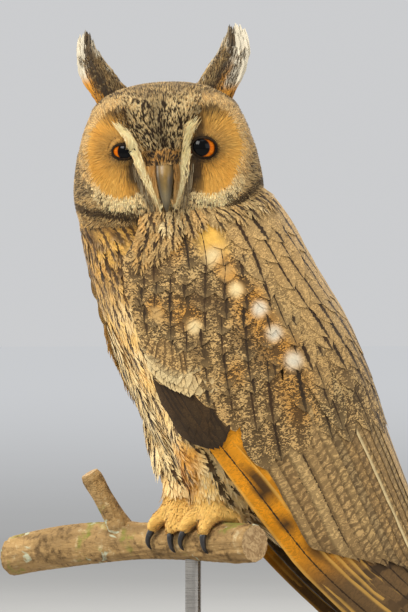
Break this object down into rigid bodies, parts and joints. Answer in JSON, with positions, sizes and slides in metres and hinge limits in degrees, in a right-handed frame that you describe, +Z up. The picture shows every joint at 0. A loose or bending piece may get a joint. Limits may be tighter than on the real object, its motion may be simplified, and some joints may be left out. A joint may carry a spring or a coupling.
{
  "type": "long-eared owl",
  "caption": "Life-size long-eared owl gripping a cut branch, wings folded, head turned to one side, held by a plain round stand.",
  "frame": {"origin": "centre of the underside of the stand base", "axes": "+Z up, the body of the owl faces -Y, +X is the owl's left side, towards which its head is turned"},
  "size_m": [0.1992, 0.2222, 0.3694],
  "materials": {
    "plumage": "soft matt feathers",
    "breast": "soft matt feathers",
    "face": "soft matt feathers",
    "flight": "matt flight feathers",
    "leg": "short matt feathers",
    "eye": "clear and wet over an orange iris",
    "horn": "smooth dark horn",
    "bark": "rough bark",
    "wood": "dark satin wood",
    "steel": "satin metal"
  },
  "bodies": {
    "root": {"head": "face", "neck": "breast", "torso": "breast", "wing_left": "plumage", "wing_right": "plumage", "tail": "flight", "ear_tuft_left": "plumage", "ear_tuft_right": "plumage", "eye_left": "eye", "eye_right": "eye", "bill_upper": "horn", "bill_lower": "horn", "thigh_left": "leg", "thigh_right": "leg", "foot_left": "leg", "foot_right": "leg", "perch_branch": "bark", "stand_base": "wood", "stand_rod": "steel", "claw_left_1": "horn", "claw_left_2": "horn", "claw_left_3": "horn", "claw_left_4": "horn", "claw_right_1": "horn", "claw_right_2": "horn", "claw_right_3": "horn", "claw_right_4": "horn"}
  },
  "joints": []
}
